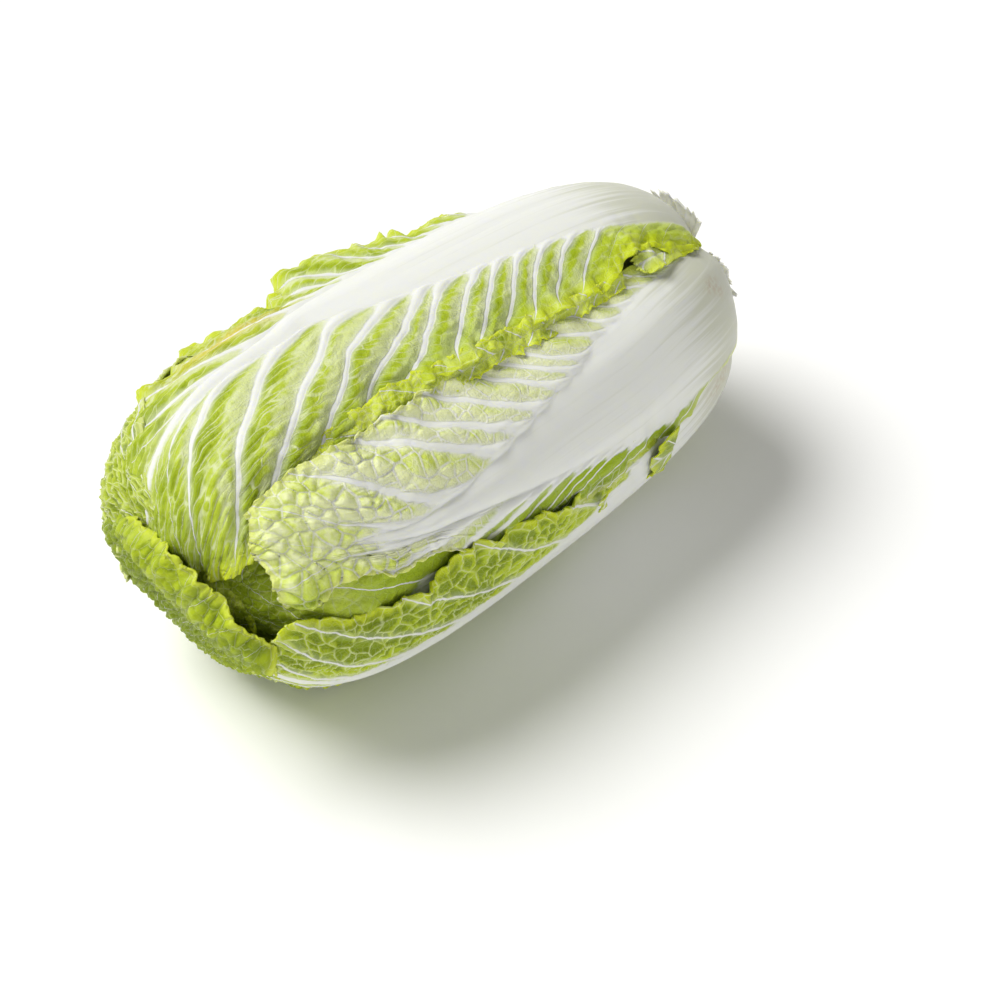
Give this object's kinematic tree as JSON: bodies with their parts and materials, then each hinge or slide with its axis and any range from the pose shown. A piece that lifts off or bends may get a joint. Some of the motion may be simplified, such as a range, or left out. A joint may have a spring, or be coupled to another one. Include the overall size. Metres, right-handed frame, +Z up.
{
  "type": "napa cabbage",
  "caption": "Whole napa cabbage lying on its side: overlapping crinkled leaves with broad pale midribs round a short core, cut off flat at the stump end.",
  "frame": {"origin": "on the surface that the head lies on, under the middle of its bounding box", "axes": "+X along the head towards its cut stump, the leaf tips towards -X; +Z up; -Y is the side whose leaves show their blades and midribs in the picture"},
  "size_m": [0.2928, 0.1618, 0.1383],
  "materials": {
    "wrapper_leaf": null,
    "inner_leaf": null,
    "stem": null,
    "trimmed_base": null
  },
  "bodies": {
    "root": {"core_stem": "stem", "heart_bud": "inner_leaf", "inner_leaf_1_1": "inner_leaf", "inner_leaf_1_2": "inner_leaf", "inner_leaf_1_3": "inner_leaf", "inner_leaf_1_4": "inner_leaf", "inner_leaf_1_5": "inner_leaf", "inner_leaf_2_1": "inner_leaf", "inner_leaf_2_2": "inner_leaf", "inner_leaf_2_3": "inner_leaf", "inner_leaf_2_4": "inner_leaf", "inner_leaf_2_5": "inner_leaf", "inner_leaf_3_1": "inner_leaf", "inner_leaf_3_2": "inner_leaf", "inner_leaf_3_3": "inner_leaf", "inner_leaf_3_4": "inner_leaf", "inner_leaf_3_5": "inner_leaf", "inner_leaf_4_1": "inner_leaf", "inner_leaf_4_2": "inner_leaf", "inner_leaf_4_3": "inner_leaf", "inner_leaf_4_4": "inner_leaf", "inner_leaf_4_5": "inner_leaf", "trimmed_leaf_base_1": "trimmed_base", "trimmed_leaf_base_2": "trimmed_base", "trimmed_leaf_base_3": "trimmed_base", "trimmed_leaf_base_4": "trimmed_base", "wrapper_leaf_back_lower": "wrapper_leaf", "wrapper_leaf_back_upper": "wrapper_leaf", "wrapper_leaf_front_lower": "wrapper_leaf", "wrapper_leaf_front_middle": "wrapper_leaf", "wrapper_leaf_underside": "wrapper_leaf"}
  },
  "joints": []
}
